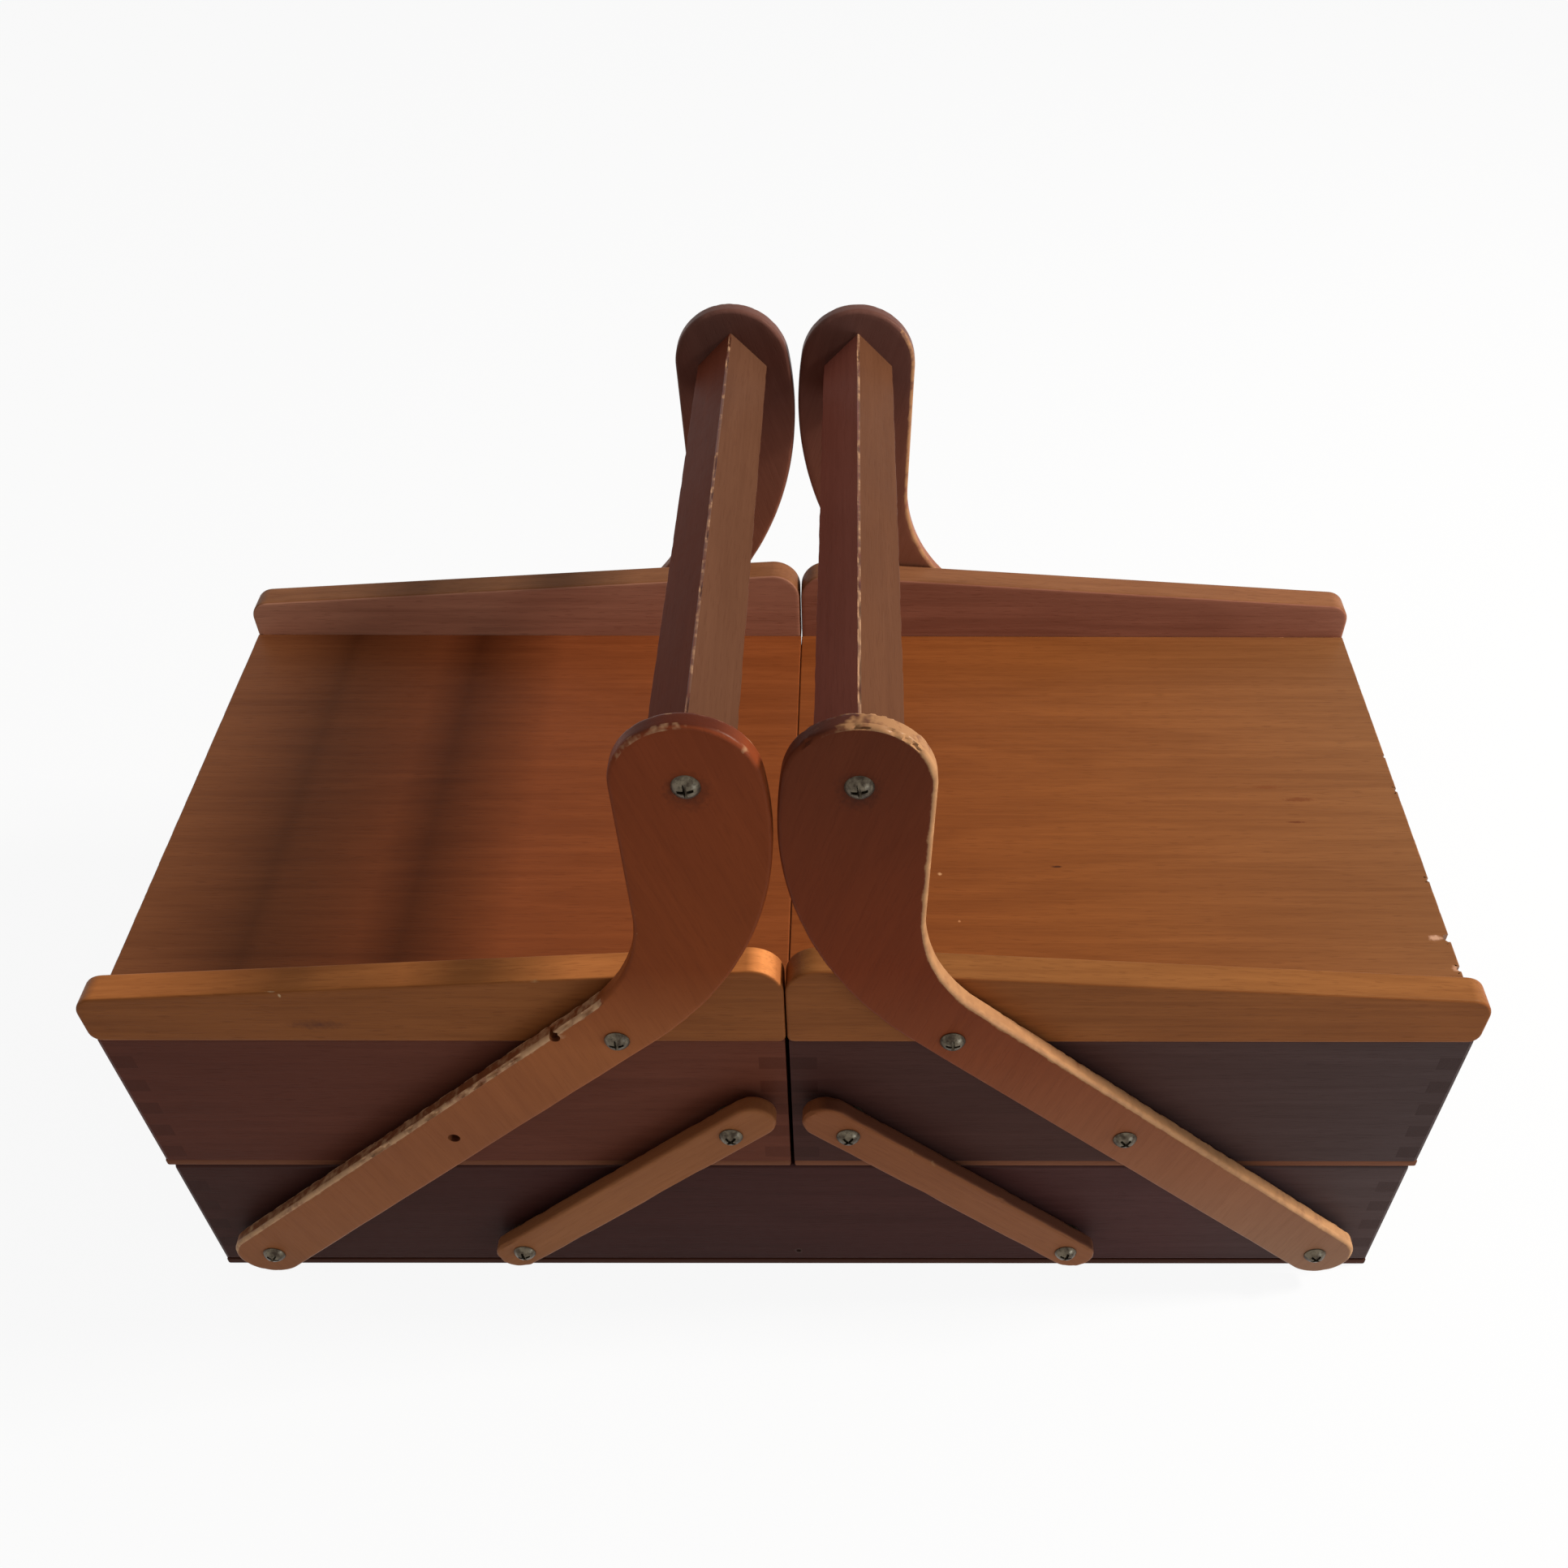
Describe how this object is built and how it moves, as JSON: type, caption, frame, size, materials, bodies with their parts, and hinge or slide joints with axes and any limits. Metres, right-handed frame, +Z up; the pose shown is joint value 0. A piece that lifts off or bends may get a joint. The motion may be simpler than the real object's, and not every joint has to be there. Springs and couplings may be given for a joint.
{
  "type": "sewing carrier",
  "caption": "Wooden cantilever sewing carrier: a lower box and trays with lids that swing out to both sides on shaped levers with handle bars.",
  "frame": {"origin": "middle of the flat underside of the lower box", "axes": "+Z up, the front faces -Y, +X along the width towards the right tray"},
  "size_m": [0.4, 0.215, 0.2488],
  "materials": {
    "stained_wood": "dark stain, satin varnish",
    "plywood": "thin plywood, varnished",
    "lid_veneer": "honey veneer, satin varnish",
    "lever_wood": "honey wood, satin varnish",
    "bar_wood": "reddish stain, worn edges",
    "steel": "tarnished"
  },
  "bodies": {
    "base": {"box_front_wall": "stained_wood", "box_back_wall": "stained_wood", "box_left_wall": "stained_wood", "box_right_wall": "stained_wood", "box_bottom": "plywood", "box_screws": "steel", "box_washers": "steel"},
    "left_levers": {"left_lever_front": "lever_wood", "left_lever_back": "lever_wood", "left_handle_bar": "bar_wood", "left_handle_screws": "steel"},
    "left_links": {"left_link_front": "lever_wood", "left_link_back": "lever_wood"},
    "left_tray": {"left_tray_front_wall": "stained_wood", "left_tray_back_wall": "stained_wood", "left_tray_outer_wall": "stained_wood", "left_tray_inner_wall": "stained_wood", "left_tray_bottom": "plywood", "left_tray_screws": "steel", "left_tray_washers": "steel"},
    "left_lid": {"left_lid_panel": "lid_veneer", "left_lid_rail_front": "lever_wood", "left_lid_rail_back": "lever_wood", "left_lid_screws": "steel"},
    "right_levers": {"right_lever_front": "lever_wood", "right_lever_back": "lever_wood", "right_handle_bar": "bar_wood", "right_handle_screws": "steel"},
    "right_links": {"right_link_front": "lever_wood", "right_link_back": "lever_wood"},
    "right_tray": {"right_tray_front_wall": "stained_wood", "right_tray_back_wall": "stained_wood", "right_tray_outer_wall": "stained_wood", "right_tray_inner_wall": "stained_wood", "right_tray_bottom": "plywood", "right_tray_screws": "steel", "right_tray_washers": "steel"},
    "right_lid": {"right_lid_panel": "lid_veneer", "right_lid_rail_front": "lever_wood", "right_lid_rail_back": "lever_wood", "right_lid_screws": "steel"}
  },
  "joints": [
    {"name": "left_open", "type": "hinge", "parent": "base", "child": "left_levers", "pos_m": [-0.175, 0, 0.02], "axis": [0, -1, 0], "range_deg": [0, 94.4]},
    {"name": "left_link_turn", "type": "hinge", "parent": "base", "child": "left_links", "pos_m": [-0.0908, 0, 0.0212], "axis": [0, -1, 0], "range_deg": [0, 94.4]},
    {"name": "left_tray_turn", "type": "hinge", "parent": "left_levers", "child": "left_tray", "pos_m": [-0.102, 0, 0.0872], "axis": [0, -1, 0], "range_deg": [-94.4, 0]},
    {"name": "left_lid_turn", "type": "hinge", "parent": "left_levers", "child": "left_lid", "pos_m": [-0.0472, 0, 0.1348], "axis": [0, -1, 0], "range_deg": [-90.62, 0]},
    {"name": "right_open", "type": "hinge", "parent": "base", "child": "right_levers", "pos_m": [0.175, 0, 0.02], "axis": [0, 1, 0], "range_deg": [0, 94.4]},
    {"name": "right_link_turn", "type": "hinge", "parent": "base", "child": "right_links", "pos_m": [0.0908, 0, 0.0212], "axis": [0, 1, 0], "range_deg": [0, 94.4]},
    {"name": "right_tray_turn", "type": "hinge", "parent": "right_levers", "child": "right_tray", "pos_m": [0.102, 0, 0.0872], "axis": [0, 1, 0], "range_deg": [-94.4, 0]},
    {"name": "right_lid_turn", "type": "hinge", "parent": "right_levers", "child": "right_lid", "pos_m": [0.0472, 0, 0.1348], "axis": [0, 1, 0], "range_deg": [-90.62, 0]}
  ],
  "couplings": [
    {"joint": "left_link_turn", "follows": "left_open", "ratio": 1},
    {"joint": "left_tray_turn", "follows": "left_open", "ratio": -1},
    {"joint": "left_lid_turn", "follows": "left_open", "ratio": -0.96},
    {"joint": "right_link_turn", "follows": "right_open", "ratio": 1},
    {"joint": "right_tray_turn", "follows": "right_open", "ratio": -1},
    {"joint": "right_lid_turn", "follows": "right_open", "ratio": -0.96}
  ]
}
